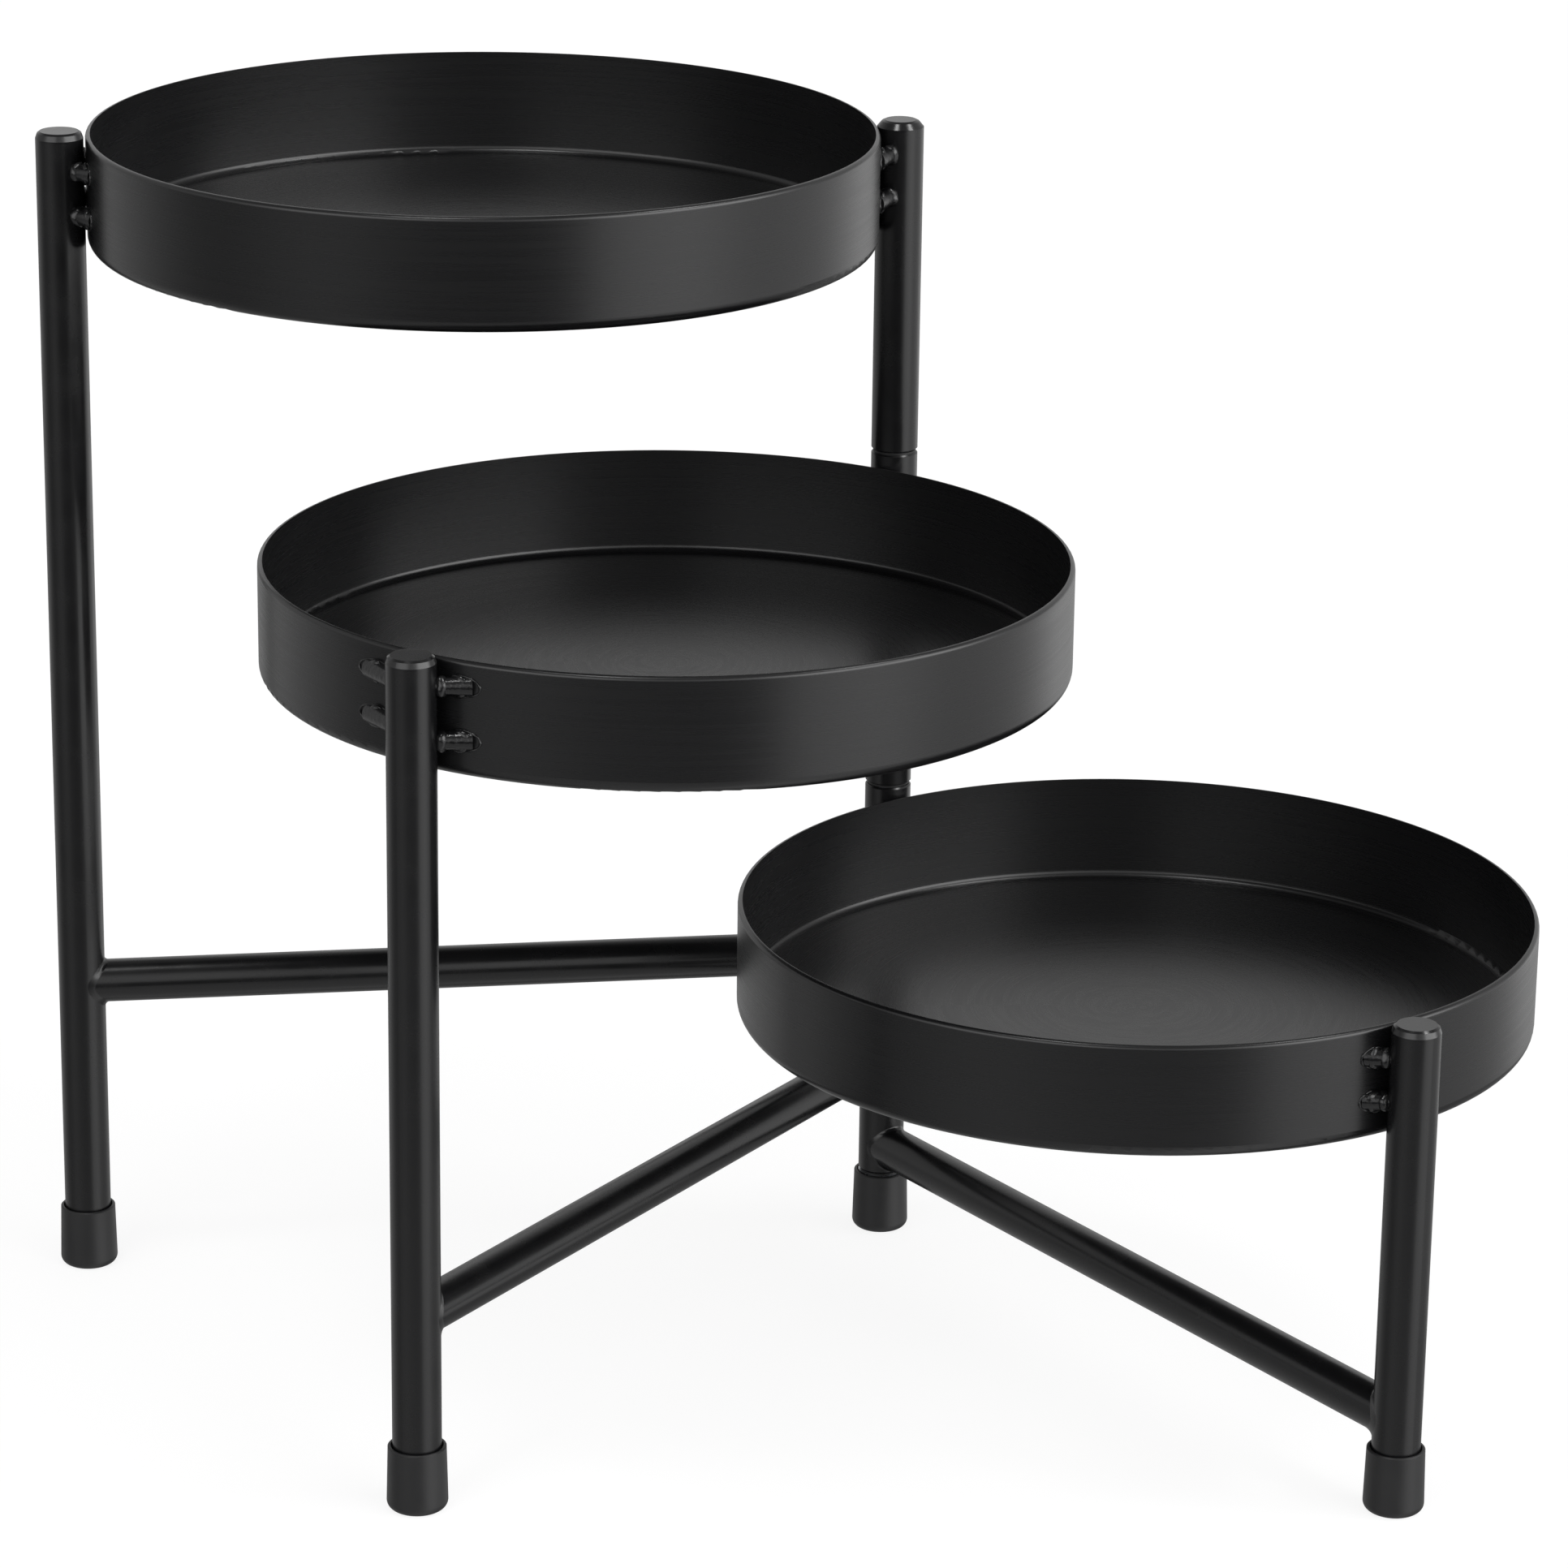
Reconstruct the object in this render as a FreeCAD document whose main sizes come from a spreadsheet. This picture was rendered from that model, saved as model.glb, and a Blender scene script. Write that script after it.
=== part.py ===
"""Folding plant stand with three round trays on one shared rear post.

Every tray hangs between an outer leg and a sleeve of the rear post, and a rung low down
ties the same leg to a collar of the post.  Tray, leg, rung, sleeve and collar are welded
into one rigid frame, and the three frames swivel about the spindle inside the post.

Millimetres, +Z up.  The origin is the rear post's axis at the floor, and the stand is
seen from the front along +Y.  A frame's angle is that of its leg, about +Z from +X.
"""
import FreeCAD, Part
import math
import os
import Sketcher

# Driving dimensions, one cell each.  Heights are above the floor.
SIZES = {
    # round trays, pressed from sheet
    "tray_radius": 125.0,
    "tray_depth": 35.5,
    "sheet_gauge": 1.5,
    "floor_corner": 3.8,
    "rim_rounding": 1.35,
    # tubes
    "tube_radius": 7.5,
    "leg_bore": 6.3,
    "rung_radius": 7.0,
    "rung_bore": 5.8,
    "wall_gap": 0.5,
    # the three frames
    "tall_angle": 187.0,
    "tall_rim": 379.5,
    "tall_rung_level": 99.0,
    "mid_angle": 236.0,
    "mid_rim": 267.2,
    "mid_rung_level": 62.2,
    "short_angle": 303.5,
    "short_rim": 155.0,
    "short_rung_level": 30.0,
    "leg_rise": 2.0,
    # closed tube ends
    "leg_cap_crown": 6.7,
    "post_cap_crown": 5.6,
    "cap_bevel": 2.2,
    "cap_skirt": 0.6,
    "cap_spigot": 6.0,
    "cap_softening": 0.6,
    # rubber feet
    "foot_tall": 20.5,
    "foot_sole": 3.0,
    "foot_mouth_radius": 8.9,
    "foot_base_radius": 9.4,
    "foot_edge": 2.8,
    "foot_lip": 0.7,
    "foot_lip_gap": 0.5,
    # rear post: spindle, its fixed base and the six seams between the turning pieces
    "post_bore": 6.0,
    "running_clearance": 0.05,
    "spindle_wall": 1.5,
    "spindle_foot_level": 8.0,
    "washer_gauge": 0.6,
    "washer_radius": 6.9,
    "seam_clearance": 0.25,
    "short_collar_top": 45.0,
    "mid_collar_top": 81.5,
    "tall_collar_top": 114.0,
    "short_sleeve_top": 158.0,
    "mid_sleeve_top": 271.3,
    "tall_sleeve_top": 377.4,
    "sleeve_softening": 0.5,
    # screwed top end of the spindle, in the counterbored top of the tall sleeve
    "shoulder_level": 366.0,
    "counterbore": 6.7,
    "spindle_proud": 0.3,
    "retainer_radius": 6.4,
    "retainer_gauge": 1.0,
    "screw_radius": 2.5,
    "screw_grip": 10.0,
    "screw_head_radius": 4.2,
    "screw_head_tall": 2.6,
    "insert_tall": 14.0,
    "socket_radius": 1.5,
    "socket_deep": 1.6,
    # welded studs between tray and tube
    "stud_radius": 2.1,
    "weld_radius": 3.1,
}

# Studs of each joint, right side first, seen from the tube: angle off the line to the tray's
# centre, then the depth of the upper and lower stud below the rim.
STUDS = {
    "tall_leg": ((50.0, 10.0, 24.0), (50.0, 9.3, 21.5)),
    "tall_post": ((57.0, 9.3, 23.0), (57.0, 9.3, 23.0)),
    "mid_leg": ((54.0, 7.6, 24.0), (64.0, 8.6, 22.4)),
    "mid_post": ((50.0, 9.0, 23.0), (50.0, 9.0, 23.0)),
    "short_leg": ((46.0, 9.3, 23.0), (46.0, 9.3, 23.0)),
    "short_post": ((50.0, 9.0, 23.0), (50.0, 9.0, 23.0)),
}
SIDES = (("right", -1), ("left", 1))
LEVELS = ("upper", "lower")

for joint_name, layout in STUDS.items():
    for (side, _), (splay, *drops) in zip(SIDES, layout):
        SIZES[f"{joint_name}_{side}_splay"] = splay
        for level, drop in zip(LEVELS, drops):
            SIZES[f"{joint_name}_{side}_{level}"] = drop

# Lengths that follow from the driving dimensions.
TRAY_OFFSET = "(Sizes.tray_radius + Sizes.wall_gap + Sizes.tube_radius)"
FRAME_REACH = f"(2 * {TRAY_OFFSET})"
CAP_ABOVE_TUBE = "(Sizes.cap_skirt + Sizes.cap_bevel)"
SEAM = "(Sizes.washer_gauge + Sizes.seam_clearance)"
SPINDLE_RUNNING = "(Sizes.post_bore - Sizes.running_clearance)"
SPINDLE_TOP = "(Sizes.shoulder_level + Sizes.spindle_proud)"
SPINDLE_BORE = "(Sizes.post_bore - Sizes.spindle_wall)"
RETAINER_TOP = f"({SPINDLE_TOP} + Sizes.retainer_gauge)"

TOLERANCE = 1e-4
THROUGH_ALL = 1

doc = FreeCAD.newDocument("PlantStand")
nodes = []


def fill_sheet():
    """Write every driving dimension into its own named cell."""
    sheet = doc.addObject("Spreadsheet::Sheet", "Sizes")
    for row, (alias, value) in enumerate(SIZES.items(), start=1):
        sheet.set(f"A{row}", alias)
        sheet.set(f"B{row}", str(value))
        sheet.setAlias(f"B{row}", alias)
    doc.recompute()


def new_body(name):
    body = doc.addObject("PartDesign::Body", name)
    body.Label = name
    nodes.append(body)
    return body


def new_sketch(body, name, role):
    """A sketch on the body's own XY, XZ or YZ plane."""
    plane = next(item for item in body.Origin.OriginFeatures if item.Role == role)
    sketch = body.newObject("Sketcher::SketchObject", name)
    sketch.AttachmentSupport = [(plane, "")]
    sketch.MapMode = "FlatFace"
    return sketch


def pin_point(sketch, item, corner, across, up):
    """Hold one point of a sketch at (across, up), both given as expressions."""
    for kind, axis, text in (("DistanceX", -2, across), ("DistanceY", -1, up)):
        if text == "0":
            sketch.addConstraint(Sketcher.Constraint("PointOnObject", item, corner, axis))
            continue
        rule = Sketcher.Constraint(kind, -1, 1, item, corner, 1.0)
        index = sketch.addConstraint(rule)
        sketch.setExpression(f"Constraints[{index}]", text)


def draw_outline(sketch, corners):
    """A closed outline through corners, drawn as a round and then pulled to size."""
    count = len(corners)
    start = []
    for index in range(count):
        turn = 2 * math.pi * index / count
        start.append(FreeCAD.Vector(20 + 9 * math.cos(turn), 20 + 9 * math.sin(turn), 0))
    for index in range(count):
        sketch.addGeometry(Part.LineSegment(start[index], start[(index + 1) % count]), False)
    for index in range(count):
        following = (index + 1) % count
        sketch.addConstraint(Sketcher.Constraint("Coincident", index, 2, following, 1))
    for index, (across, up) in enumerate(corners):
        pin_point(sketch, index, 1, across, up)


def draw_circle(sketch, radius, across="0", up="0"):
    upright = FreeCAD.Vector(0, 0, 1)
    item = sketch.addGeometry(Part.Circle(FreeCAD.Vector(1, 1, 0), upright, 3.0), False)
    pin_point(sketch, item, 3, across, up)
    index = sketch.addConstraint(Sketcher.Constraint("Radius", item, 3.0))
    sketch.setExpression(f"Constraints[{index}]", radius)


def revolve(body, corners):
    """Turn a half section about the body's upright axis."""
    sketch = new_sketch(body, "HalfSection", "XZ_Plane")
    draw_outline(sketch, corners)
    turned = body.newObject("PartDesign::Revolution", "Turned")
    turned.Profile = sketch
    turned.ReferenceAxis = (sketch, ["V_Axis"])
    turned.Angle = 360
    doc.recompute()
    return turned


def extrude_ring(body, role, outer, inner, length):
    """A tube with its lower end on the body's plane."""
    sketch = new_sketch(body, "Ring", role)
    draw_circle(sketch, outer)
    draw_circle(sketch, inner)
    tube = body.newObject("PartDesign::Pad", "Tube")
    tube.Profile = sketch
    tube.setExpression("Length", length)
    doc.recompute()
    return tube


def soften_edges(body, base, name, size, rings, bevelled=False):
    """Round or bevel the circular edges of base at the given (radius, height) pairs."""
    found = []
    for number, edge in enumerate(base.Shape.Edges, start=1):
        curve = edge.Curve
        if not isinstance(curve, Part.Circle):
            continue
        for ring_radius, height in rings:
            same_radius = abs(curve.Radius - ring_radius) < TOLERANCE
            if same_radius and abs(curve.Center.z - height) < TOLERANCE:
                found.append(f"Edge{number}")
    if len(found) != len(rings):
        raise RuntimeError(f"{body.Label}: {len(found)} of {len(rings)} edges found")
    kind, extent = ("Chamfer", "Size") if bevelled else ("Fillet", "Radius")
    softened = body.newObject(f"PartDesign::{kind}", name)
    softened.Base = (base, found)
    softened.setExpression(extent, size)
    doc.recompute()
    return softened


def place(item, angle=None, out="0", up="0", turned="0"):
    """Set a piece at a distance along its frame's direction, and turn it with the frame."""
    if angle is not None:
        item.setExpression("Placement.Base.x", f"{out} * cos(Sizes.{angle})")
        item.setExpression("Placement.Base.y", f"{out} * sin(Sizes.{angle})")
        item.Placement.Rotation = FreeCAD.Rotation(FreeCAD.Vector(0, 0, 1), SIZES[angle])
        item.setExpression("Placement.Rotation.Angle", f"Sizes.{angle} + {turned}")
    item.setExpression("Placement.Base.z", up)


def make_tray(name, angle, rim):
    """Pressed tray: flat floor, rounded foot of the wall, and a rim rounded outwards."""
    body = new_body(name)
    wall = "Sizes.tray_radius - Sizes.sheet_gauge"
    blank = revolve(body, [
        ("0", "0"),
        ("Sizes.tray_radius", "0"),
        ("Sizes.tray_radius", "Sizes.tray_depth"),
        (wall, "Sizes.tray_depth"),
        (wall, "Sizes.sheet_gauge"),
        ("0", "Sizes.sheet_gauge"),
    ])
    outside = SIZES["tray_radius"]
    inside = outside - SIZES["sheet_gauge"]
    gauge = SIZES["sheet_gauge"]
    pressed = soften_edges(body, blank, "OuterCorner", "Sizes.floor_corner", [(outside, 0.0)])
    inner_corner = "Sizes.floor_corner - Sizes.sheet_gauge"
    pressed = soften_edges(body, pressed, "InnerCorner", inner_corner, [(inside, gauge)])
    rim_edge = [(outside, SIZES["tray_depth"])]
    soften_edges(body, pressed, "RimEdge", "Sizes.rim_rounding", rim_edge)
    place(body, angle, TRAY_OFFSET, f"Sizes.{rim} - Sizes.tray_depth")


def make_leg(name, angle, rim):
    """Outer leg, standing on the sole of its foot and closed by a cap."""
    body = new_body(name)
    length = f"Sizes.{rim} + Sizes.leg_rise - {CAP_ABOVE_TUBE} - Sizes.foot_sole"
    extrude_ring(body, "XY_Plane", "Sizes.tube_radius", "Sizes.leg_bore", length)
    place(body, angle, FRAME_REACH, "Sizes.foot_sole")


def make_cap(name, bore, crown, seat, angle=None, out="0"):
    """Bevelled end cap: a spigot in the tube, a short skirt, and a flat crown."""
    body = new_body(name)
    shoulder = "(Sizes.cap_spigot + Sizes.cap_skirt)"
    top = f"({shoulder} + Sizes.cap_bevel)"
    turned = revolve(body, [
        ("0", "0"),
        (bore, "0"),
        (bore, "Sizes.cap_spigot"),
        ("Sizes.tube_radius", "Sizes.cap_spigot"),
        ("Sizes.tube_radius", shoulder),
        (f"Sizes.{crown}", top),
        ("0", top),
    ])
    height = SIZES["cap_spigot"] + SIZES["cap_skirt"] + SIZES["cap_bevel"]
    top_edge = [(SIZES[crown], height)]
    soften_edges(body, turned, "Softened", "Sizes.cap_softening", top_edge, bevelled=True)
    place(body, angle, out, f"{seat} - Sizes.cap_spigot")


def make_foot(name, angle=None, out="0"):
    """Rubber foot: flared boot with a closed sole and a lip that stands off the tube."""
    body = new_body(name)
    mouth = "(Sizes.tube_radius + Sizes.foot_lip_gap)"
    turned = revolve(body, [
        ("0", "0"),
        ("Sizes.foot_base_radius", "0"),
        ("Sizes.foot_mouth_radius", "Sizes.foot_tall"),
        (mouth, "Sizes.foot_tall"),
        (mouth, "Sizes.foot_tall - Sizes.foot_lip"),
        ("Sizes.tube_radius", "Sizes.foot_tall - 2 * Sizes.foot_lip"),
        ("Sizes.tube_radius", "Sizes.foot_sole"),
        ("0", "Sizes.foot_sole"),
    ])
    base_edge = [(SIZES["foot_base_radius"], 0.0)]
    mouth_edge = [(SIZES["foot_mouth_radius"], SIZES["foot_tall"])]
    rounded = soften_edges(body, turned, "BaseEdge", "Sizes.foot_edge", base_edge)
    soften_edges(body, rounded, "MouthEdge", "Sizes.foot_lip / 2", mouth_edge, bevelled=True)
    place(body, angle, out)


def make_rung(name, angle, level):
    """Rung from the post's collar to the leg, its ends coped to fit both round tubes."""
    body = new_body(name)
    extrude_ring(body, "YZ_Plane", "Sizes.rung_radius", "Sizes.rung_bore", FRAME_REACH)
    for end, across in (("Post", "0"), ("Leg", FRAME_REACH)):
        before = body.Tip.Shape.Volume
        sketch = new_sketch(body, f"{end}Round", "XY_Plane")
        draw_circle(sketch, "Sizes.tube_radius", across)
        cope = body.newObject("PartDesign::Pocket", f"{end}Cope")
        cope.Profile = sketch
        cope.Type = THROUGH_ALL
        cope.Midplane = True
        doc.recompute()
        if cope.Shape.Volume > before - 1.0:
            raise RuntimeError(f"{name}: the {end} cope removes nothing")
    place(body, angle, up=f"Sizes.{level}")


def make_post_tube(name, bottom, top, softened=True):
    """Sleeve or collar of the rear post, its ends eased so that each seam shows."""
    body = new_body(name)
    length = f"{top} - {bottom}"
    tube = extrude_ring(body, "XY_Plane", "Sizes.tube_radius", "Sizes.post_bore", length)
    if softened:
        outside = SIZES["tube_radius"]
        ends = [(outside, 0.0), (outside, tube.Length.Value)]
        soften_edges(body, tube, "Eased", "Sizes.sleeve_softening", ends, bevelled=True)
    place(body, up=bottom)
    return body


def make_tall_sleeve(bottom):
    """Top sleeve: its upper end is bored wider, down to the shoulder under the screw."""
    body = make_post_tube("tall_sleeve", bottom, "Sizes.tall_sleeve_top", False)
    before = body.Tip.Shape.Volume
    sketch = new_sketch(body, "CounterboreRound", "XY_Plane")
    sketch.setExpression("AttachmentOffset.Base.z", f"Sizes.shoulder_level - {bottom}")
    draw_circle(sketch, "Sizes.counterbore")
    bored = body.newObject("PartDesign::Pocket", "Counterbore")
    bored.Profile = sketch
    bored.Type = THROUGH_ALL
    bored.Reversed = True
    doc.recompute()
    if bored.Shape.Volume > before - 1.0:
        raise RuntimeError("tall_sleeve: the counterbore removes nothing")
    lower_edge = [(SIZES["tube_radius"], 0.0)]
    soften_edges(body, bored, "Eased", "Sizes.sleeve_softening", lower_edge, bevelled=True)


def make_washer(name, bottom):
    """Thin slip washer that keeps two turning pieces of the post apart."""
    body = new_body(name)
    extrude_ring(body, "XY_Plane", "Sizes.washer_radius", "Sizes.post_bore", "Sizes.washer_gauge")
    place(body, up=bottom)


def make_spindle():
    """Hollow spindle, full size where it is held and slim where the frames turn."""
    body = new_body("post_spindle")
    held = "Sizes.post_bore"
    base = "Sizes.spindle_foot_level"
    steps = [
        (held, "0"),
        (held, f"Sizes.foot_tall - {base}"),
        (SPINDLE_RUNNING, f"Sizes.foot_tall - {base}"),
        (SPINDLE_RUNNING, f"Sizes.short_collar_top + {SEAM} - {base}"),
        (held, f"Sizes.short_collar_top + {SEAM} - {base}"),
        (held, f"Sizes.mid_collar_top - {base}"),
        (SPINDLE_RUNNING, f"Sizes.mid_collar_top - {base}"),
        (SPINDLE_RUNNING, f"Sizes.short_sleeve_top + {SEAM} - {base}"),
        (held, f"Sizes.short_sleeve_top + {SEAM} - {base}"),
        (held, f"Sizes.mid_sleeve_top - {base}"),
        (SPINDLE_RUNNING, f"Sizes.mid_sleeve_top - {base}"),
        (SPINDLE_RUNNING, f"{SPINDLE_TOP} - {base}"),
        (SPINDLE_BORE, f"{SPINDLE_TOP} - {base}"),
        (SPINDLE_BORE, "0"),
    ]
    revolve(body, steps)
    place(body, up=base)


def make_base_plug():
    """Plug that fills the rear foot and holds the spindle's lower end."""
    body = new_body("spindle_base_plug")
    revolve(body, [
        ("0", "0"),
        ("Sizes.tube_radius", "0"),
        ("Sizes.tube_radius", "Sizes.foot_tall - Sizes.foot_sole"),
        ("Sizes.post_bore", "Sizes.foot_tall - Sizes.foot_sole"),
        ("Sizes.post_bore", "Sizes.spindle_foot_level - Sizes.foot_sole"),
        ("0", "Sizes.spindle_foot_level - Sizes.foot_sole"),
    ])
    place(body, up="Sizes.foot_sole")


def make_spindle_insert():
    """Threaded insert in the spindle's top end."""
    body = new_body("spindle_insert")
    extrude_ring(body, "XY_Plane", SPINDLE_BORE, "Sizes.screw_radius", "Sizes.insert_tall")
    place(body, up=f"{SPINDLE_TOP} - Sizes.insert_tall")


def make_retaining_washer():
    """Stiff washer on the spindle's end, over the shoulder of the top sleeve."""
    body = new_body("retaining_washer")
    ring = ("Sizes.retainer_radius", "Sizes.screw_radius", "Sizes.retainer_gauge")
    extrude_ring(body, "XY_Plane", *ring)
    place(body, up=SPINDLE_TOP)


def make_retaining_screw():
    """Cap screw with a round head and a hexagon socket."""
    body = new_body("retaining_screw")
    turned = revolve(body, [
        ("0", "0"),
        ("Sizes.screw_radius", "0"),
        ("Sizes.screw_radius", "Sizes.screw_grip"),
        ("Sizes.screw_head_radius", "Sizes.screw_grip"),
        ("Sizes.screw_head_radius", "Sizes.screw_grip + Sizes.screw_head_tall"),
        ("0", "Sizes.screw_grip + Sizes.screw_head_tall"),
    ])
    before = turned.Shape.Volume
    sketch = new_sketch(body, "SocketHexagon", "XY_Plane")
    top = "Sizes.screw_grip + Sizes.screw_head_tall - Sizes.socket_deep"
    sketch.setExpression("AttachmentOffset.Base.z", top)
    middle = "Sizes.screw_head_radius"
    corners = []
    for index in range(6):
        corner = index * 60
        across = f"{middle} + Sizes.socket_radius * cos({corner})"
        corners.append((across, f"{middle} + Sizes.socket_radius * sin({corner})"))
    draw_outline(sketch, corners)
    sketch.setExpression("AttachmentOffset.Base.x", f"-{middle}")
    sketch.setExpression("AttachmentOffset.Base.y", f"-{middle}")
    socket = body.newObject("PartDesign::Pocket", "Socket")
    socket.Profile = sketch
    socket.Type = THROUGH_ALL
    socket.Reversed = True
    doc.recompute()
    if socket.Shape.Volume > before - 1.0:
        raise RuntimeError("retaining_screw: the socket removes nothing")
    place(body, up=f"{RETAINER_TOP} - Sizes.screw_grip")


def make_stud(joint, side, sign, level):
    """One stud, in the joint's own frame: tube axis at the origin, tray along +X.

    It runs out from the tube at the side's splay angle and flares towards the tray's
    wall, and both ends are cut to the round surfaces that they are welded to.
    """
    name = f"{joint}_{side}_{level}"
    splay = f"({sign} * Sizes.{joint}_{side}_splay)"
    to_wall = (f"({TRAY_OFFSET} * cos({splay}) - sqrt(Sizes.tray_radius ^ 2"
               f" - ({TRAY_OFFSET} * sin({splay})) ^ 2))")
    shank = doc.addObject("Part::Cone", f"{name}_shank")
    shank.setExpression("Radius1", "Sizes.stud_radius")
    shank.setExpression("Radius2", "Sizes.weld_radius")
    shank.setExpression("Height", to_wall + " + Sizes.weld_radius")
    spot = f"vector(0; 0; -Sizes.{name})"
    shank.setExpression("Placement", f"placement({spot}; rotation({splay}; 90; 0))")

    rest = shank
    faces = (("tube", "Sizes.tube_radius", "0"), ("tray", "Sizes.tray_radius", TRAY_OFFSET))
    for part, radius, out in faces:
        tool = doc.addObject("Part::Cylinder", f"{name}_{part}_face")
        tool.setExpression("Radius", radius)
        tool.setExpression("Height", "2 * Sizes.tray_depth")
        tool.setExpression("Placement.Base.x", out)
        tool.setExpression("Placement.Base.z", "-1.5 * Sizes.tray_depth")
        cut = doc.addObject("Part::Cut", f"{name}_at_{part}")
        cut.Base = rest
        cut.Tool = tool
        rest = cut
    return rest


def make_studs(joint, angle, rim, out, turned):
    """The four studs of one tray-to-tube joint, as separate solids of one node."""
    studs = []
    for side, sign in SIDES:
        for level in LEVELS:
            studs.append(make_stud(joint, side, sign, level))
    group = doc.addObject("Part::Compound", f"{joint}_studs")
    group.Label = f"{joint}_studs"
    group.Links = studs
    nodes.append(group)
    place(group, angle, out, f"Sizes.{rim}", turned)


def make_frame(frame):
    """Tray, leg, rung, foot and studs of one frame; the post's pieces come apart."""
    angle = f"{frame}_angle"
    rim = f"{frame}_rim"
    make_tray(f"{frame}_tray", angle, rim)
    make_leg(f"{frame}_leg", angle, rim)
    leg_top = f"(Sizes.{rim} + Sizes.leg_rise - {CAP_ABOVE_TUBE})"
    cap_name = f"{frame}_leg_cap"
    make_cap(cap_name, "Sizes.leg_bore", "leg_cap_crown", leg_top, angle, FRAME_REACH)
    make_foot(f"{frame}_foot", angle, FRAME_REACH)
    make_rung(f"{frame}_rung", angle, f"{frame}_rung_level")
    make_studs(f"{frame}_leg", angle, rim, FRAME_REACH, "180")
    make_studs(f"{frame}_post", angle, rim, "0", "0")


def make_rear_post():
    """Foot, spindle and the stack of collars and sleeves, from the floor up."""
    make_foot("rear_foot")
    make_base_plug()
    make_spindle()
    make_spindle_insert()
    make_washer("foot_washer", "Sizes.foot_tall")
    make_post_tube("short_rung_collar", f"(Sizes.foot_tall + {SEAM})", "Sizes.short_collar_top")
    make_washer("short_collar_washer", "Sizes.short_collar_top + Sizes.seam_clearance")
    make_post_tube("mid_rung_collar", f"(Sizes.short_collar_top + {SEAM})", "Sizes.mid_collar_top")
    make_washer("mid_collar_washer", "Sizes.mid_collar_top")
    make_post_tube("tall_rung_collar", f"(Sizes.mid_collar_top + {SEAM})", "Sizes.tall_collar_top")
    make_washer("tall_collar_washer", "Sizes.tall_collar_top")
    make_post_tube("short_sleeve", f"(Sizes.tall_collar_top + {SEAM})", "Sizes.short_sleeve_top")
    make_washer("short_sleeve_washer", "Sizes.short_sleeve_top + Sizes.seam_clearance")
    make_post_tube("mid_sleeve", f"(Sizes.short_sleeve_top + {SEAM})", "Sizes.mid_sleeve_top")
    make_washer("mid_sleeve_washer", "Sizes.mid_sleeve_top")
    make_tall_sleeve(f"(Sizes.mid_sleeve_top + {SEAM})")
    make_retaining_washer()
    make_retaining_screw()
    make_cap("rear_post_cap", "Sizes.counterbore", "post_cap_crown", "Sizes.tall_sleeve_top")


def check_model():
    """Stop on any failed object, and on any piece that isn't one or four sound solids."""
    for item in doc.Objects:
        if "Invalid" in item.State or "Error" in item.State:
            raise RuntimeError(f"{item.Label}: {item.getStatusString()}")
    for node in nodes:
        expected = 4 if node.Label.endswith("_studs") else 1
        if node.Shape.isNull() or not node.Shape.isValid():
            raise RuntimeError(f"{node.Label}: no valid shape")
        if len(node.Shape.Solids) != expected:
            raise RuntimeError(f"{node.Label}: {len(node.Shape.Solids)} solids")


def write_parts():
    os.makedirs("parts", exist_ok=True)
    for node in nodes:
        node.Shape.exportStep(f"parts/{node.Label}.step")


fill_sheet()
make_frame("tall")
make_frame("mid")
make_frame("short")
make_rear_post()
doc.recompute()
check_model()
write_parts()
print(len(nodes), "nodes written")
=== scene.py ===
"""Looks of the folding plant stand: black powder-coated steel on rubber feet, in a white studio."""
import math

import bmesh
import bpy
from mathutils import Matrix, Vector


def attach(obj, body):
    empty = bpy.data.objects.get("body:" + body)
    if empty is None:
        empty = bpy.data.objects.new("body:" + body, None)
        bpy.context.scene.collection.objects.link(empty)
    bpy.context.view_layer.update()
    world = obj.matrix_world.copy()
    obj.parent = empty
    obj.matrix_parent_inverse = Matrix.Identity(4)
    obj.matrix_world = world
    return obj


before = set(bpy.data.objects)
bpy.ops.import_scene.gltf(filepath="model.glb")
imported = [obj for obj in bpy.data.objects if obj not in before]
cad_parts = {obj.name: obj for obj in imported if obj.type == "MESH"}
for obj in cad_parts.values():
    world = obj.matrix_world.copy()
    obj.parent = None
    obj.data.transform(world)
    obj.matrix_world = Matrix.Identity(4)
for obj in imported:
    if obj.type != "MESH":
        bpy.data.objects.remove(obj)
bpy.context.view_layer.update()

MM = 0.001

# The stand's own sizes, as in the solid model, in metres and degrees. A fillet is the weld at a
# rung's end, in mm: its width all round, then its run and its climb below the rung.
TUBE_RADIUS = 7.5 * MM
RUNG_RADIUS = 7.0 * MM
TRAY_RADIUS = 125.0 * MM
TRAY_OFFSET = 133.0 * MM
FRAME_REACH = 266.0 * MM
FRAMES = {
    "tall": {"angle": 187.0, "rim": 379.5 * MM, "rung": 99.0 * MM, "leg_fillet": (1.5, 1.5, 1.5)},
    "mid": {"angle": 236.0, "rim": 267.2 * MM, "rung": 62.2 * MM, "leg_fillet": (1.7, 2.4, 4.4)},
    "short": {"angle": 303.5, "rim": 155.0 * MM, "rung": 30.0 * MM, "leg_fillet": (1.8, 5.5, 2.4)},
}
POST_FILLET = (1.2, 1.5, 1.5)
# Studs of each joint, right side first, seen from the tube: angle off the line to the tray's
# centre, then the depth in mm of the upper and lower stud below the rim.
STUDS = {
    ("tall", "leg"): ((50.0, 10.0, 24.0), (50.0, 9.3, 21.5)),
    ("tall", "post"): ((57.0, 9.3, 23.0), (57.0, 9.3, 23.0)),
    ("mid", "leg"): ((54.0, 7.6, 24.0), (64.0, 8.6, 22.4)),
    ("mid", "post"): ((50.0, 9.0, 23.0), (50.0, 9.0, 23.0)),
    ("short", "leg"): ((46.0, 9.3, 23.0), (46.0, 9.3, 23.0)),
    ("short", "post"): ((50.0, 9.0, 23.0), (50.0, 9.0, 23.0)),
}

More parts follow.
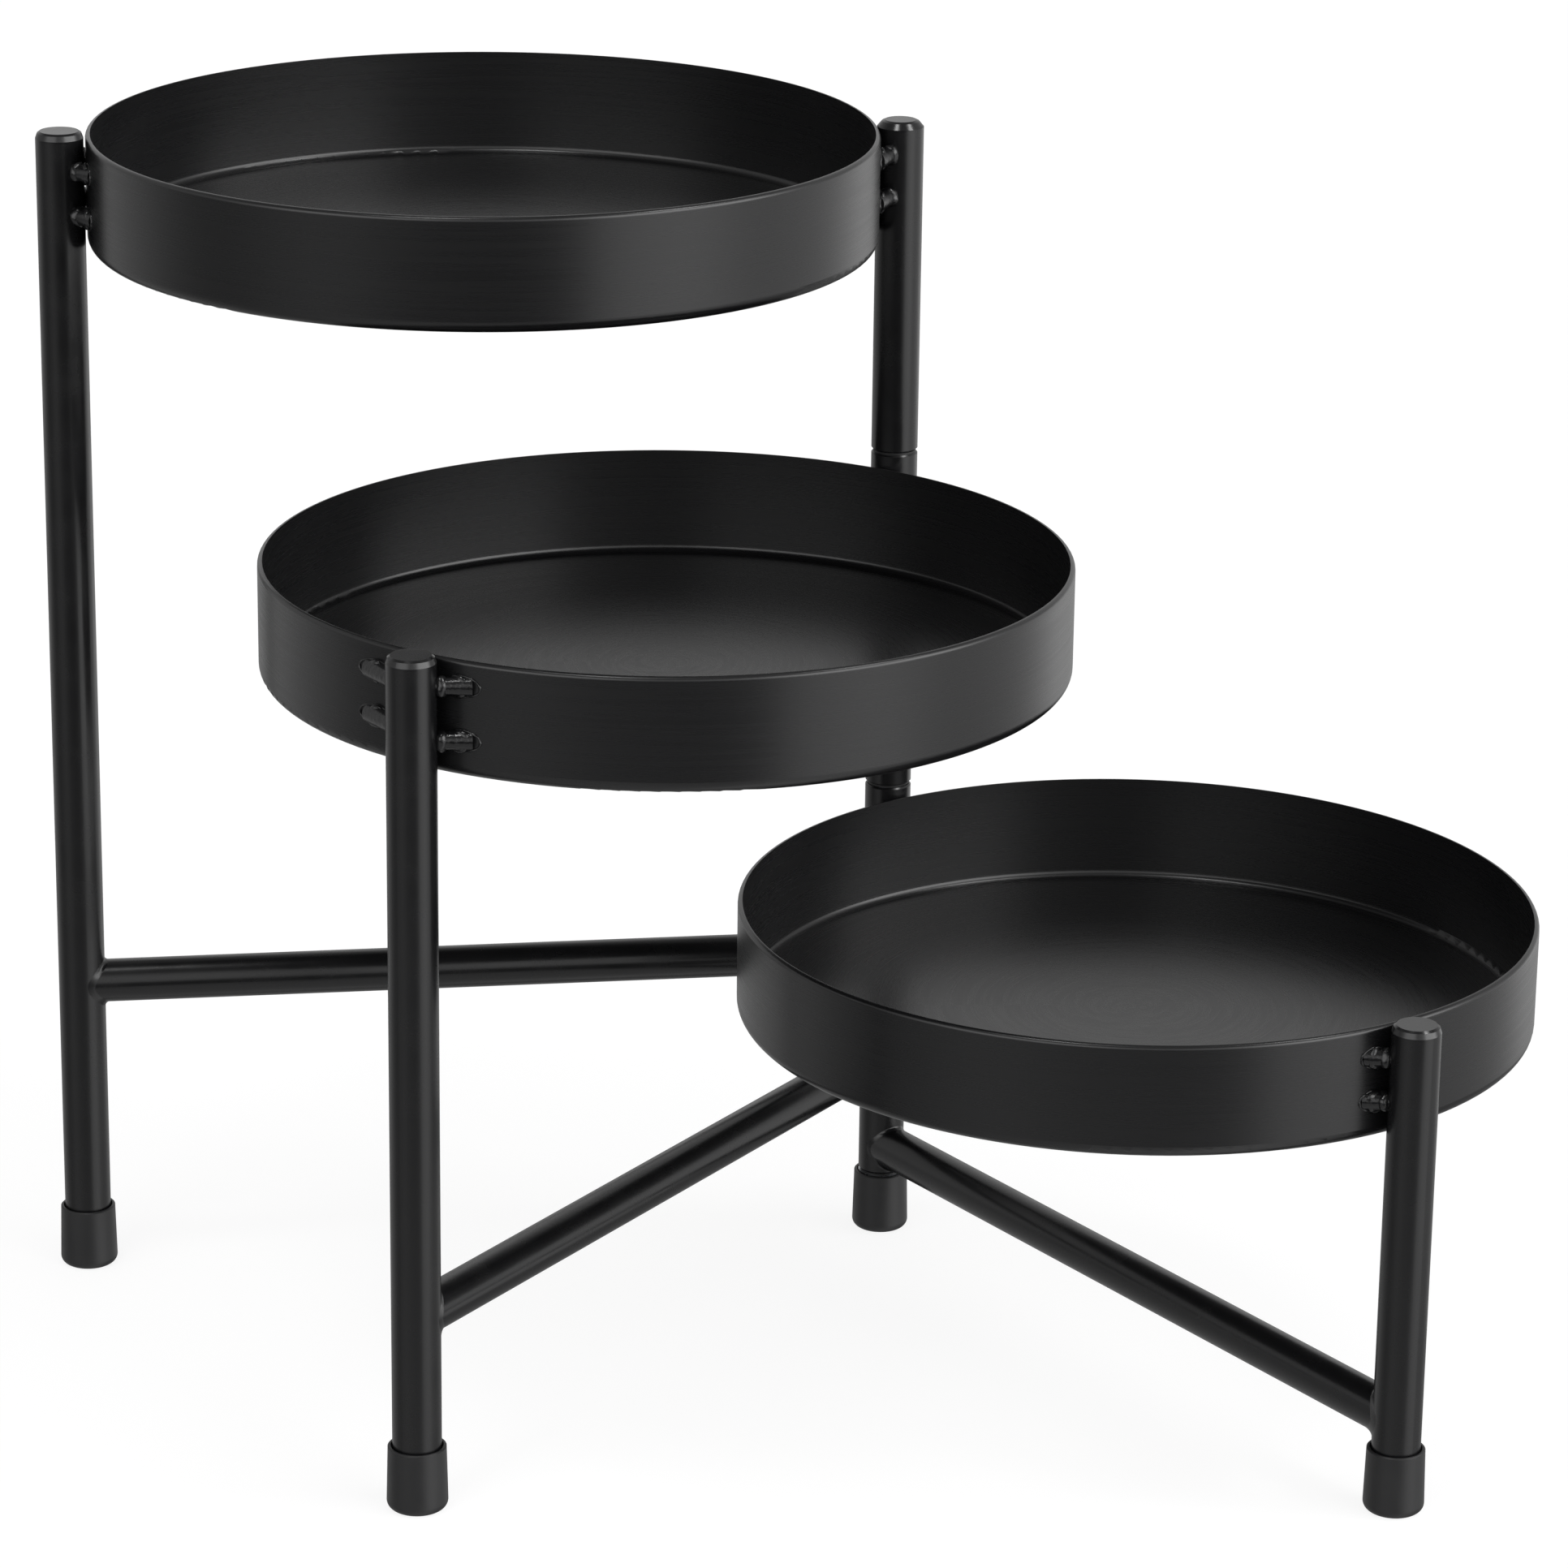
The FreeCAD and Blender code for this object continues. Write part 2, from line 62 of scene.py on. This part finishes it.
BLACK_PAINT = "#0e0e0f"
BLACK_RUBBER = "#161617"
BLACK_NYLON = "#0b0b0c"
BRIGHT_ZINC = "#b9bcc0"
WHITE = (1.0, 1.0, 1.0, 1.0)


# ---------------------------------------------------------------- materials

def linear(hex_colour):
    """Linear colour of an sRGB hex value."""
    colour = []
    for start in (1, 3, 5):
        part = int(hex_colour[start:start + 2], 16) / 255
        colour.append(part / 12.92 if part <= 0.04045 else ((part + 0.055) / 1.055) ** 2.4)
    return (*colour, 1.0)


def add_node(tree, kind, settings=None, inputs=None):
    """Add a node; an input is a plain value or the socket that feeds it."""
    node = tree.nodes.new(kind)
    for name, value in (settings or {}).items():
        setattr(node, name, value)
    for name, value in (inputs or {}).items():
        if isinstance(value, bpy.types.NodeSocket):
            tree.links.new(value, node.inputs[name])
        else:
            node.inputs[name].default_value = value
    return node


def per_metre(millimetres):
    """Noise scale whose grains are about this many millimetres across."""
    return 1.0 / (millimetres * MM)


def new_finish(name, colour, roughness):
    """A new material with its node tree, its Principled shader and the piece's own coordinates."""
    finish = bpy.data.materials.new(name)
    finish.use_nodes = True
    tree = finish.node_tree
    shader = tree.nodes["Principled BSDF"]
    shader.inputs["Base Color"].default_value = linear(colour)
    shader.inputs["Roughness"].default_value = roughness
    shader.inputs["IOR"].default_value = 1.5
    place = add_node(tree, "ShaderNodeTexCoord").outputs["Object"]
    return finish, tree, shader, place


def vary_roughness(tree, shader, pattern, low, high):
    """Let roughness follow a noise pattern, which keeps mostly between 0.3 and 0.7."""
    spread = add_node(tree, "ShaderNodeMapRange", None, {
        "Value": pattern, "From Min": 0.3, "From Max": 0.7, "To Min": low, "To Max": high})
    tree.links.new(spread.outputs["Result"], shader.inputs["Roughness"])


def orange_peel(tree, place, height, grain_mm):
    """Bump of a cured coat or a moulded skin: soft dimples about a millimetre across."""
    dimples = add_node(tree, "ShaderNodeTexNoise", None, {
        "Vector": place, "Scale": per_metre(grain_mm), "Detail": 2.0, "Roughness": 0.55})
    return add_node(tree, "ShaderNodeBump", None, {
        "Strength": 1.0, "Distance": height, "Height": dimples.outputs["Fac"]})


def powder_coat(name, grain_mm=1.1, height=0.010 * MM, low=0.22, high=0.30):
    """Semi-gloss black polyester powder coat on steel tube: dark, with soft bright bands."""
    finish, tree, shader, place = new_finish(name, BLACK_PAINT, (low + high) / 2)
    bump = orange_peel(tree, place, height, grain_mm)
    tree.links.new(bump.outputs["Normal"], shader.inputs["Normal"])
    handling = add_node(tree, "ShaderNodeTexNoise", None, {
        "Vector": place, "Scale": per_metre(14.0), "Detail": 4.0, "Roughness": 0.6})
    vary_roughness(tree, shader, handling.outputs["Fac"], low, high)
    return finish


def tray_coat(name, angle):
    """The same powder coat over spun sheet, whose turning lines print faintly through it."""
    low, high = 0.255, 0.30
    finish, tree, shader, place = new_finish(name, BLACK_PAINT, (low + high) / 2)
    turn = math.radians(angle)
    centre = (TRAY_OFFSET * math.cos(turn), TRAY_OFFSET * math.sin(turn), 0.0)
    local = add_node(tree, "ShaderNodeVectorMath", {"operation": "SUBTRACT"}, {0: place, 1: centre})
    axes = add_node(tree, "ShaderNodeSeparateXYZ", None, {"Vector": local.outputs["Vector"]})
    bearing = add_node(tree, "ShaderNodeMath", {"operation": "ARCTAN2"}, {
        0: axes.outputs["Y"], 1: axes.outputs["X"]})
    level_spot = add_node(tree, "ShaderNodeCombineXYZ", None, {
        "X": axes.outputs["X"], "Y": axes.outputs["Y"]})
    radius = add_node(tree, "ShaderNodeVectorMath", {"operation": "LENGTH"}, {
        0: level_spot.outputs["Vector"]})
    # Turning lines are finer on the real sheet; these are drawn coarser, to show.
    line_spacing_mm, line_length_mm = 1.4, 70.0
    along = add_node(tree, "ShaderNodeMath", {"operation": "MULTIPLY"}, {
        0: bearing.outputs["Value"], 1: TRAY_RADIUS * per_metre(line_length_mm)})
    across = add_node(tree, "ShaderNodeMath", {"operation": "MULTIPLY"}, {
        0: axes.outputs["Z"], 1: per_metre(line_spacing_mm)})
    inward = add_node(tree, "ShaderNodeMath", {"operation": "MULTIPLY"}, {
        0: radius.outputs["Value"], 1: per_metre(line_spacing_mm)})
    rolled = add_node(tree, "ShaderNodeCombineXYZ", None, {
        "X": along.outputs["Value"], "Y": across.outputs["Value"], "Z": inward.outputs["Value"]})
    lines = add_node(tree, "ShaderNodeTexNoise", None, {
        "Vector": rolled.outputs["Vector"], "Scale": 1.0, "Detail": 3.0, "Roughness": 0.65})
    vary_roughness(tree, shader, lines.outputs["Fac"], low, high)
    peel = orange_peel(tree, place, 0.008 * MM, 1.1)
    ridges = add_node(tree, "ShaderNodeBump", None, {
        "Strength": 1.0, "Distance": 0.004 * MM, "Height": lines.outputs["Fac"],
        "Normal": peel.outputs["Normal"]})
    tree.links.new(ridges.outputs["Normal"], shader.inputs["Normal"])
    return finish


def moulded_rubber(name):
    """Black moulded rubber: duller than the paint, with a fine spark-eroded grain."""
    low, high = 0.38, 0.5
    finish, tree, shader, place = new_finish(name, BLACK_RUBBER, (low + high) / 2)
    bump = orange_peel(tree, place, 0.02 * MM, 0.7)
    tree.links.new(bump.outputs["Normal"], shader.inputs["Normal"])
    bloom = add_node(tree, "ShaderNodeTexNoise", None, {
        "Vector": place, "Scale": per_metre(9.0), "Detail": 5.0, "Roughness": 0.6})
    vary_roughness(tree, shader, bloom.outputs["Fac"], low, high)
    return finish


def moulded_nylon(name):
    """Black nylon of the slip washers, left matt by the moulding."""
    finish, tree, shader, place = new_finish(name, BLACK_NYLON, 0.5)
    bump = orange_peel(tree, place, 0.01 * MM, 0.5)
    tree.links.new(bump.outputs["Normal"], shader.inputs["Normal"])
    return finish


def zinc_plate(name):
    """Bright zinc plating on the hidden steel parts, with a fine crystalline mottle."""
    low, high = 0.24, 0.38
    finish, tree, shader, place = new_finish(name, BRIGHT_ZINC, (low + high) / 2)
    shader.inputs["Metallic"].default_value = 1.0
    crystals = add_node(tree, "ShaderNodeTexNoise", None, {
        "Vector": place, "Scale": per_metre(0.8), "Detail": 3.0})
    vary_roughness(tree, shader, crystals.outputs["Fac"], low, high)
    return finish


TUBE_PAINT = powder_coat("powder_coated_steel_tube")
CAP_PAINT = powder_coat("powder_coated_cap", grain_mm=0.9, low=0.18, high=0.25)
# Weld metal under the paint is uneven, so its dimples are larger and deeper.
WELD_PAINT = powder_coat("powder_coated_weld", grain_mm=1.5, height=0.15 * MM, low=0.16, high=0.26)
RUBBER = moulded_rubber("moulded_rubber")
NYLON = moulded_nylon("moulded_nylon")
ZINC = zinc_plate("zinc_plated_steel")

NODE_FINISH = {
    "_leg": TUBE_PAINT, "_rung": TUBE_PAINT, "_sleeve": TUBE_PAINT, "_collar": TUBE_PAINT,
    "_cap": CAP_PAINT, "_studs": WELD_PAINT, "_foot": RUBBER, "_washer": NYLON,
}
HIDDEN_STEEL = ("spindle_base_plug", "post_spindle", "spindle_insert", "retaining_washer",
                "retaining_screw")


def dress_nodes():
    """Give every node of the solid model its finish."""
    for name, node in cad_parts.items():
        if name.endswith("_tray"):
            finish = tray_coat(f"powder_coated_{name}", FRAMES[name.split("_")[0]]["angle"])
        elif name in HIDDEN_STEEL:
            finish = ZINC
        else:
            finish = next(f for ending, f in NODE_FINISH.items() if name.endswith(ending))
        for slot in node.material_slots:
            slot.material = finish
        if not node.material_slots:
            node.data.materials.append(finish)


# ---------------------------------------------------------------- welds

def looped_faces(rings, sides, closed):
    """Quads between rings of corners; the ends join each other if closed, or else are capped."""
    faces = []
    for ring in range(rings if closed else rings - 1):
        here, beyond = ring * sides, (ring + 1) % rings * sides
        for side in range(sides):
            beside = (side + 1) % sides
            faces.append((here + side, beyond + side, beyond + beside, here + beside))
    if not closed:
        faces.append(tuple(range(sides)))
        faces.append(tuple(range((rings - 1) * sides, rings * sides)))
    return faces


def weld_piece(name, corners, faces, paint, frame_name):
    """One smooth piece of painted weld metal that moves with its frame."""
    shape = bmesh.new()
    points = [shape.verts.new(corner) for corner in corners]
    for face in faces:
        shape.faces.new([points[number] for number in face]).smooth = True
    bmesh.ops.recalc_face_normals(shape, faces=shape.faces)
    mesh = bpy.data.meshes.new(name)
    shape.to_mesh(mesh)
    shape.free()
    mesh.materials.append(paint)
    piece = bpy.data.objects.new(name, mesh)
    bpy.context.scene.collection.objects.link(piece)
    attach(piece, f"{frame_name}_frame")


def rung_weld(frame_name, end, fillet):
    """Smooth fillet in the corner round a rung's coped end.

    It widens below the rung, where its run is along the rung and its climb down the tube.
    """
    size, run_below, climb_below = (part * MM for part in fillet)
    spec = FRAMES[frame_name]
    turn = Matrix.Rotation(math.radians(spec["angle"]), 4, "Z")
    axis, toward = (0.0, 1.0) if end == "post" else (FRAME_REACH, -1.0)
    steps, curve_steps = 144, 9
    # The edges end just under the painted surfaces, and the root lies in the tubes' walls.
    edge_depth, root_depth = 0.06 * MM, 0.6 * MM
    underside, widening = 1.5 * math.pi, 0.8

    def on_tube(facing, level, radius):
        return Vector((axis + toward * radius * math.cos(facing), radius * math.sin(facing),
                       spec["rung"] + level))

    corners = []
    for step in range(steps):
        t = 2 * math.pi * step / steps
        side, up = math.cos(t), math.sin(t)
        below = math.exp(-((t - underside) / widening) ** 2)
        uneven = 1 + 0.05 * math.sin(7 * t) + 0.04 * math.sin(17 * t)
        run = (size + (run_below - size) * below) * uneven
        climb = (size + (climb_below - size) * below) * uneven
        facing = math.asin(RUNG_RADIUS * side / TUBE_RADIUS)
        outward = Vector((toward * math.cos(facing), math.sin(facing) + side, up))
        corner = on_tube(facing, RUNG_RADIUS * up, TUBE_RADIUS)
        on_rung = corner + Vector((toward * run, -edge_depth * side, -edge_depth * up))
        beyond = on_tube(facing + climb * side / TUBE_RADIUS, (RUNG_RADIUS + climb) * up,
                         TUBE_RADIUS - edge_depth)
        fullness = corner + 0.1 * size * outward
        # From the rung to the tube in a hollow curve, and back below both surfaces.
        for number in range(curve_steps):
            u = number / (curve_steps - 1)
            point = (1 - u) ** 2 * on_rung + 2 * u * (1 - u) * fullness + u ** 2 * beyond
            corners.append(turn @ point)
        corners.append(turn @ (corner - root_depth * outward))
    faces = looped_faces(steps, curve_steps + 1, True)
    name = f"{frame_name}_rung_{end}_weld"
    weld_piece(name, corners, faces, TUBE_PAINT, frame_name)


def nugget(centre, along, girth, half_length, seed):
    """Corners and faces of a lumpy drop of weld metal, as rings from end to end."""
    across = Vector((0.0, 0.0, 1.0))
    beside = along.cross(across)
    levels, sides = 12, 20
    corners = []
    for level in range(levels):
        lean = math.pi * (level + 0.5) / levels
        for number in range(sides):
            a = 2 * math.pi * number / sides
            lump = 1 + 0.08 * math.sin(3 * a + seed) * math.sin(2 * lean + 1.7 * seed)
            lump += 0.05 * math.sin(5 * a - 2.3 * seed) * math.sin(4 * lean)
            spread = math.sin(lean) * (math.cos(a) * across + math.sin(a) * beside)
            away = girth * spread - half_length * math.cos(lean) * along
            corners.append(centre + lump * away)
    return corners, looped_faces(levels, sides, False)


def wall_ring(centre, along, outward, size, bead, seed):
    """Corners and faces of the thin bead where a stud meets the round wall of its tray."""
    tangent = Vector((-outward.y, outward.x, 0.0))
    # A stud that meets the wall at a slant leaves a longer outline on it.
    stretch = 1 / max(0.45, abs(outward.dot(along)))
    steps, sides = 48, 8
    corners = []
    for step in range(steps):
        t = 2 * math.pi * step / steps
        radial = math.cos(t) * tangent * stretch + math.sin(t) * Vector((0, 0, 1))
        radius = bead * (1 + 0.25 * math.sin(7 * t + seed))
        flat = size * radial
        fall = flat.dot(tangent) ** 2 / (2 * TRAY_RADIUS)
        spine = centre + flat - fall * outward
        for number in range(sides):
            a = 2 * math.pi * number / sides
            away = math.cos(a) * radial.normalized() + math.sin(a) * outward
            corners.append(spine + radius * away)
    return corners, looped_faces(steps, sides, True)


def stud_welds(frame_name, end):
    """Weld metal of a joint's four studs: a drop at each end, and a ring on the tray's wall."""
    tube_drop = {"girth": 3.3 * MM, "half_length": 2.4 * MM}
    wall_drop = {"girth": 3.6 * MM, "half_length": 1.4 * MM}
    ring = {"size": 3.1 * MM, "bead": 0.42 * MM}
    # A drop's middle stands off the tube; the other's stands off the wall, set back on the stud,
    # and stays inside the sheet, so that nothing shows in the tray.
    off_tube, off_wall, set_back = 1.1 * MM, 0.5 * MM, 0.6 * MM
    spec = FRAMES[frame_name]
    bearing = math.radians(spec["angle"])
    out, turned = (0.0, 0.0) if end == "post" else (FRAME_REACH, math.pi)
    tube = Vector((out * math.cos(bearing), out * math.sin(bearing), 0.0))
    tray = Vector((TRAY_OFFSET * math.cos(bearing), TRAY_OFFSET * math.sin(bearing), 0.0))
    corners, faces = [], []
    # The seed makes each drop's lumps its own; it only has to differ from stud to stud.
    seed = 0.4 + out * 7 + spec["angle"]
    for sign, (splay, *depths) in zip((-1, 1), STUDS[frame_name, end]):
        lean = math.radians(splay)
        across = TRAY_OFFSET * math.sin(lean)
        to_wall = TRAY_OFFSET * math.cos(lean) - math.sqrt(TRAY_RADIUS ** 2 - across ** 2)
        heading = bearing + turned + sign * lean
        along = Vector((math.cos(heading), math.sin(heading), 0.0))
        for depth in depths:
            seed += 1.3
            level = Vector((0.0, 0.0, spec["rim"] - depth * MM))
            at_tube = tube + level + along * (TUBE_RADIUS + off_tube)
            foot = tube + level + along * to_wall
            outward = ((foot - tray) * Vector((1.0, 1.0, 0.0))).normalized()
            at_wall = foot + off_wall * outward - set_back * along
            for made in (nugget(at_tube, along, seed=seed, **tube_drop),
                         nugget(at_wall, outward, seed=seed + 2, **wall_drop),
                         wall_ring(foot, along, outward, seed=seed, **ring)):
                start = len(corners)
                corners.extend(made[0])
                faces.extend(tuple(start + corner for corner in face) for face in made[1])
    name = f"{frame_name}_{end}_stud_welds"
    weld_piece(name, corners, faces, WELD_PAINT, frame_name)


# ---------------------------------------------------------------- studio

def wall_band(tree, share, levels):
    """Brightness round the studio from (degrees right of the front, level) pairs."""
    band = add_node(tree, "ShaderNodeValToRGB", None, {"Fac": share})
    ramp = band.color_ramp
    ramp.interpolation = "EASE"
    while len(ramp.elements) < len(levels):
        ramp.elements.new(0.5)
    for element, (degrees, level) in zip(ramp.elements, levels):
        element.position = (degrees + 180) / 360
        element.color = (level, level, level, 1.0)
    return band.outputs["Color"]


def fade(tree, value, low, high, below, above):
    """Below turns softly into above as value goes from low to high."""
    share = add_node(tree, "ShaderNodeMapRange", {"interpolation_type": "SMOOTHSTEP"}, {
        "Value": value, "From Min": low, "From Max": high})
    # A mix of colours has its factor at input 0, the colours at 6 and 7, and its result at 2.
    return add_node(tree, "ShaderNodeMix", {"data_type": "RGBA"}, {
        0: share.outputs["Result"], 6: below, 7: above}).outputs[2]


def soft_studio():
    """White behind the stand; the paint mirrors pale walls, dark gaps and two soft lights."""
    world = bpy.data.worlds.new("soft_studio")
    bpy.context.scene.world = world
    world.use_nodes = True
    tree = world.node_tree
    tree.nodes.clear()
    direction = add_node(tree, "ShaderNodeTexCoord").outputs["Generated"]
    axes = add_node(tree, "ShaderNodeSeparateXYZ", None, {"Vector": direction})
    forward = add_node(tree, "ShaderNodeMath", {"operation": "MULTIPLY"}, {
        0: axes.outputs["Y"], 1: -1.0})
    bearing = add_node(tree, "ShaderNodeMath", {"operation": "ARCTAN2"}, {
        0: axes.outputs["X"], 1: forward.outputs["Value"]})
    share = add_node(tree, "ShaderNodeMapRange", None, {
        "Value": bearing.outputs["Value"], "From Min": -math.pi, "From Max": math.pi})
    share = share.outputs["Result"]
    # Well below the horizon: the studio floor, evened out by its own glow.
    floor = wall_band(tree, share, (
        (-180, 0.4), (-150, 0.42), (-120, 0.42), (-82, 0.3), (-45, 0.5), (-12, 0.55), (10, 0.5),
        (24, 0.5), (40, 0.95), (60, 0.95), (84, 0.45), (108, 0.26), (150, 0.26), (180, 0.4)))
    # Below the stand's height: the glow from the lights on the right.
    low = wall_band(tree, share, (
        (-180, 0.35), (-152, 0.42), (-135, 0.5), (-120, 0.48), (-82, 0.2), (-45, 0.4),
        (-12, 0.06), (10, 0.02), (24, 0.13), (40, 1.35), (60, 1.6), (88, 0.9), (115, 0.85),
        (137, 1.1), (158, 0.6), (180, 0.35)))
    # Above it: a wide light on the right, a narrower one on the left.
    high = wall_band(tree, share, (
        (-180, 0.75), (-125, 0.5), (-80, 0.6), (-50, 2.2), (-22, 2.2), (-2, 0.8), (22, 1.2),
        (42, 4.5), (84, 4.5), (102, 0.9), (116, 0.6), (180, 0.7)))
    dim_ceiling = (0.22, 0.22, 0.22, 1.0)
    up = axes.outputs["Z"]
    ground = fade(tree, up, -0.42, -0.30, floor, low)
    walls = fade(tree, up, -0.05, 0.12, ground, high)
    room = fade(tree, up, 0.5, 0.8, walls, dim_ceiling)
    mirrored = add_node(tree, "ShaderNodeBackground", None, {"Color": room, "Strength": 1.0})
    white = add_node(tree, "ShaderNodeBackground", None, {"Color": WHITE, "Strength": 1.0})
    path = add_node(tree, "ShaderNodeLightPath")
    seen = add_node(tree, "ShaderNodeMath", {"operation": "MAXIMUM"}, {
        0: path.outputs["Is Camera Ray"], 1: path.outputs["Is Transmission Ray"]})
    choice = add_node(tree, "ShaderNodeMixShader", None, {
        "Fac": seen.outputs["Value"], 1: mirrored.outputs["Background"],
        2: white.outputs["Background"]})
    add_node(tree, "ShaderNodeOutputWorld", None, {"Surface": choice.outputs["Shader"]})


def pale_floor():
    """Floor that reads white and keeps a faint shadow of the feet and trays."""
    half = 4.0
    paper_white = (0.8, 0.8, 0.8, 1.0)
    # Three quarters of what the camera sees is the floor's own even white, the rest is lit paper.
    glow_share, glow_strength = 0.75, 1.14
    corners = [(-half, -half, 0), (half, -half, 0), (half, half, 0), (-half, half, 0)]
    mesh = bpy.data.meshes.new("studio_floor")
    mesh.from_pydata(corners, [], [(0, 1, 2, 3)])
    finish = bpy.data.materials.new("white_studio_paper")
    finish.use_nodes = True
    tree = finish.node_tree
    tree.nodes.clear()
    paper = add_node(tree, "ShaderNodeBsdfDiffuse", None, {"Color": paper_white})
    glow = add_node(tree, "ShaderNodeEmission", None, {"Color": WHITE, "Strength": glow_strength})
    path = add_node(tree, "ShaderNodeLightPath")
    share = add_node(tree, "ShaderNodeMath", {"operation": "MULTIPLY"}, {
        0: path.outputs["Is Camera Ray"], 1: glow_share})
    seen = add_node(tree, "ShaderNodeMixShader", None, {
        "Fac": share.outputs["Value"], 1: paper.outputs["BSDF"], 2: glow.outputs["Emission"]})
    add_node(tree, "ShaderNodeOutputMaterial", None, {"Surface": seen.outputs["Shader"]})
    mesh.materials.append(finish)
    floor = bpy.data.objects.new("studio_floor", mesh)
    bpy.context.scene.collection.objects.link(floor)
    # The paint mirrors the studio walls and not the floor, as it does in the photograph.
    floor.visible_glossy = False


def top_lamp(name, place, side, watts):
    """Square lamp high above, aimed at the trays; its highlight sits on the caps' bevels."""
    aim = Vector((0.0, -0.1, 0.25))
    lamp = bpy.data.lights.new(name, "AREA")
    lamp.shape = "SQUARE"
    lamp.size = side
    lamp.energy = watts
    item = bpy.data.objects.new(name, lamp)
    item.location = place
    item.rotation_euler = (aim - Vector(place)).to_track_quat("-Z", "Y").to_euler()
    item.visible_camera = False
    bpy.context.scene.collection.objects.link(item)


def place_camera():
    """The photograph's viewpoint, solved from the stand's own points."""
    photo_width_pixels, focal_length_pixels = 1932, 7166.446
    sensor_width_mm = 36.0
    location = (-0.088244, -1.821441, 0.763567)
    yaw, pitch, roll = math.radians(-1.695), math.radians(18.41), math.radians(0.758)
    ahead = Vector((-math.sin(yaw) * math.cos(pitch), math.cos(yaw) * math.cos(pitch),
                    -math.sin(pitch)))
    right = Vector((math.cos(yaw), math.sin(yaw), 0.0))
    up = right.cross(ahead)
    rolled_right = math.cos(roll) * right + math.sin(roll) * up
    rolled_up = -math.sin(roll) * right + math.cos(roll) * up
    camera = bpy.data.cameras.new("photo_camera")
    camera.sensor_fit = "HORIZONTAL"
    camera.sensor_width = sensor_width_mm
    camera.lens = focal_length_pixels / photo_width_pixels * sensor_width_mm
    camera.clip_start = 0.05
    item = bpy.data.objects.new("photo_camera", camera)
    axes = Matrix((rolled_right, rolled_up, -ahead)).transposed().to_4x4()
    item.matrix_world = Matrix.Translation(location) @ axes
    bpy.context.scene.collection.objects.link(item)
    bpy.context.scene.camera = item


# ---------------------------------------------------------------- scene

dress_nodes()
for frame_name, spec in FRAMES.items():
    rung_weld(frame_name, "leg", spec["leg_fillet"])
    rung_weld(frame_name, "post", POST_FILLET)
    stud_welds(frame_name, "leg")
    stud_welds(frame_name, "post")

soft_studio()
pale_floor()
top_lamp("left_top_lamp", (-0.43, -0.55, 2.1), 0.35, 5.0)
top_lamp("right_top_lamp", (0.99, -0.22, 1.95), 0.4, 6.0)
place_camera()
bpy.context.scene.view_settings.view_transform = "Standard"
